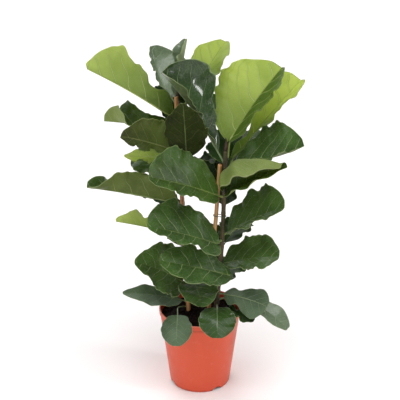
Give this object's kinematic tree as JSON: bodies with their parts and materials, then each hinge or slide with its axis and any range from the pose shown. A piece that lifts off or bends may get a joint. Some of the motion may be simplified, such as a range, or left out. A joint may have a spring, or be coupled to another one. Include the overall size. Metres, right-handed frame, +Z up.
{
  "type": "potted live plant",
  "caption": "Fiddle leaf fig with large violin-shaped leaves on slim staked stems, growing from soil in a tapered nursery pot.",
  "frame": {"origin": "centre of the pot's underside, on the surface it stands on", "axes": "+Z up along the pot's axis, -Y towards the plant's front, +X to the right seen from the front"},
  "size_m": [0.5184, 0.4091, 0.8903],
  "materials": {
    "pot": "satin terracotta-coloured moulded plastic",
    "soil": "damp dark potting mix with bark chips",
    "stem": "brown-green woody bark",
    "stake": "split bamboo",
    "bud": "dry brown sheath",
    "tie": "dark green coated wire",
    "mature_leaf": "waxy dark green leaf",
    "young_leaf": "thin lime green leaf"
  },
  "bodies": {
    "root": {"bud_left": "bud", "bud_right": "bud", "leaf_b01": "mature_leaf", "leaf_b02": "mature_leaf", "leaf_b03": "mature_leaf", "leaf_b04": "mature_leaf", "leaf_b05": "mature_leaf", "leaf_b06": "mature_leaf", "leaf_b07": "mature_leaf", "leaf_b08": "mature_leaf", "leaf_b09": "mature_leaf", "leaf_b10": "mature_leaf", "leaf_b11": "mature_leaf", "leaf_b12": "mature_leaf", "leaf_b13": "mature_leaf", "leaf_b14": "mature_leaf", "leaf_b15": "young_leaf", "leaf_b16": "mature_leaf", "leaf_l01": "young_leaf", "leaf_l02": "mature_leaf", "leaf_l03": "young_leaf", "leaf_l04": "young_leaf", "leaf_l05": "mature_leaf", "leaf_l06": "mature_leaf", "leaf_l07": "mature_leaf", "leaf_l08": "mature_leaf", "leaf_l09": "mature_leaf", "leaf_l10": "young_leaf", "leaf_l12": "mature_leaf", "leaf_l13": "mature_leaf", "leaf_l14": "mature_leaf", "leaf_l15": "mature_leaf", "leaf_r01": "young_leaf", "leaf_r02": "mature_leaf", "leaf_r03": "young_leaf", "leaf_r04": "mature_leaf", "leaf_r05": "mature_leaf", "leaf_r06": "mature_leaf", "leaf_r07": "mature_leaf", "leaf_r08": "mature_leaf", "leaf_r09": "mature_leaf", "leaf_r10": "mature_leaf", "leaf_r11": "mature_leaf", "leaf_r12": "mature_leaf", "leaf_r13": "mature_leaf", "pot": "pot", "soil": "soil", "stake_left": "stake", "stake_right": "stake", "stem_left": "stem", "stem_right": "stem", "tie_left_1": "tie", "tie_left_2": "tie", "tie_right_1": "tie", "tie_right_2": "tie"}
  },
  "joints": []
}
